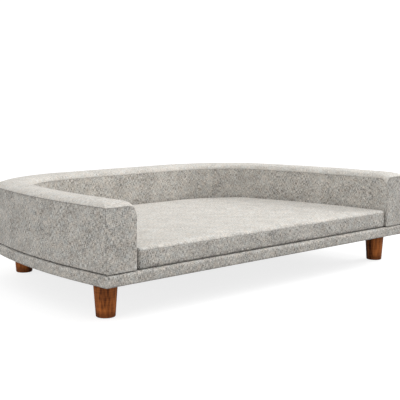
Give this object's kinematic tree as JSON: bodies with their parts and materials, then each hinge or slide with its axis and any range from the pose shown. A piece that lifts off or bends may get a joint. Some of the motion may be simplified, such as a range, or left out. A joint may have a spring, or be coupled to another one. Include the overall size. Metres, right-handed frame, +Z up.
{
  "type": "dog sofa bed",
  "caption": "Low D-shaped upholstered pet sofa: padded U-shaped wall with a crowned top and soft rear corners, lift-out box cushion with a zipped cover, turned tapered wooden legs",
  "frame": {"origin": "on the floor under the middle of the footprint", "axes": "+X along the length to the right as seen from the open front, +Y to the back wall, +Z up; the open front faces -Y"},
  "size_m": [1.291, 0.8046, 0.3067],
  "materials": {
    "linen_fabric": "light grey linen-look woven polyester, slubby plain weave",
    "stained_wood": "turned hardwood, dark reddish brown stain under satin lacquer",
    "foam": "open-cell polyurethane foam, matte",
    "plywood": "raw birch-faced plywood",
    "pine": "planed raw pine",
    "hardboard": "brown pressed fibre board",
    "dust_cloth": "black spunbonded non-woven cloth",
    "zip_tape": "woven grey zip tape",
    "nylon_zip": "grey nylon coil chain",
    "zinc_steel": "zinc-plated steel",
    "nylon_glide": "dark brown nylon"
  },
  "bodies": {
    "sofa": {"arm_end_board_left": "plywood", "arm_end_board_right": "plywood", "arm_front_fabric_left": "linen_fabric", "arm_front_fabric_right": "linen_fabric", "arm_front_foam_left": "foam", "arm_front_foam_right": "foam", "base_back_rail": "pine", "base_cover": "linen_fabric", "base_cross_rails": "pine", "base_deck": "plywood", "base_dust_cover": "dust_cloth", "base_edge_padding": "foam", "base_front_rail": "pine", "base_leg_blocks": "pine", "base_side_rail_left": "pine", "base_side_rail_right": "pine", "leg_front_left": "stained_wood", "leg_front_right": "stained_wood", "leg_glides": "nylon_glide", "leg_hanger_bolts": "zinc_steel", "leg_rear_left": "stained_wood", "leg_rear_right": "stained_wood", "leg_t_nuts": "zinc_steel", "wall_bolts": "zinc_steel", "wall_bottom_plate": "plywood", "wall_inner_fabric": "linen_fabric", "wall_inner_foam_back": "foam", "wall_inner_foam_left": "foam", "wall_inner_foam_right": "foam", "wall_inner_panel": "hardboard", "wall_outer_fabric": "linen_fabric", "wall_outer_foam": "foam", "wall_outer_panel": "hardboard", "wall_studs": "pine", "wall_threaded_inserts": "zinc_steel", "wall_top_fabric": "linen_fabric", "wall_top_foam": "foam", "wall_top_plate": "plywood"},
    "cushion": {"cushion_top_panel": "linen_fabric", "cushion_band": "linen_fabric", "cushion_bottom_panel": "linen_fabric", "cushion_comfort_foam": "foam", "cushion_support_foam": "foam", "cushion_zip_tape": "zip_tape", "zip_chain": "nylon_zip"},
    "zip": {"zip_slider": "zinc_steel", "zip_pull": "zinc_steel"}
  },
  "joints": [
    {"name": "cushion_lift", "type": "slide", "parent": "sofa", "child": "cushion", "axis": [0, 0, 1], "range_m": [0, 0.25]},
    {"name": "zip_slide", "type": "slide", "parent": "cushion", "child": "zip", "axis": [1, 0, 0], "range_m": [0, 0.345]}
  ]
}
